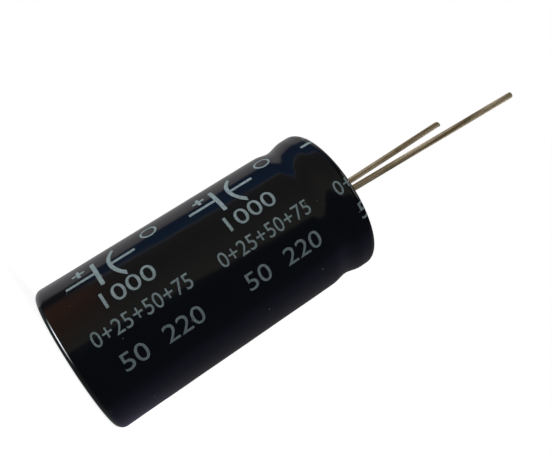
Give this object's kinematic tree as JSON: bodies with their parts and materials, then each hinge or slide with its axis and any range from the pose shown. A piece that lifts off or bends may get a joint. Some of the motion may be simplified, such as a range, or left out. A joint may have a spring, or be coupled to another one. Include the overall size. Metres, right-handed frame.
{
  "type": "electrolytic capacitor",
  "caption": "Polarised radial capacitor: a sleeved and beaded aluminium can with a wound foil element, a rubber seal and wire leads of unequal length.",
  "frame": {"origin": "middle of the vented end, where the sleeve's lip stands on the table", "axes": "+Z along the can towards the leads, +X from the axis towards the longer, positive lead"},
  "size_m": [0.0186, 0.0186, 0.0638],
  "materials": {
    "can_aluminium": "drawn, satin",
    "sleeve_film": "glossy shrunk film with pale print",
    "print_ink": "thin pale ink on the sleeve",
    "seal_rubber": "matt moulded",
    "tinned_wire": "dull tinned wire",
    "tab_aluminium": "rolled, satin",
    "etched_foil": "matt etched",
    "plain_foil": "satin foil",
    "separator_paper": "soaked paper",
    "closing_tape": "thin tape"
  },
  "bodies": {
    "root": {"can": "can_aluminium", "sleeve": "sleeve_film", "rubber_seal": "seal_rubber", "anode_lead": "tinned_wire", "cathode_lead": "tinned_wire", "anode_tab": "tab_aluminium", "cathode_tab": "tab_aluminium", "anode_foil": "etched_foil", "inner_paper": "separator_paper", "cathode_foil": "plain_foil", "outer_paper": "separator_paper", "closing_tape": "closing_tape"}
  },
  "joints": []
}
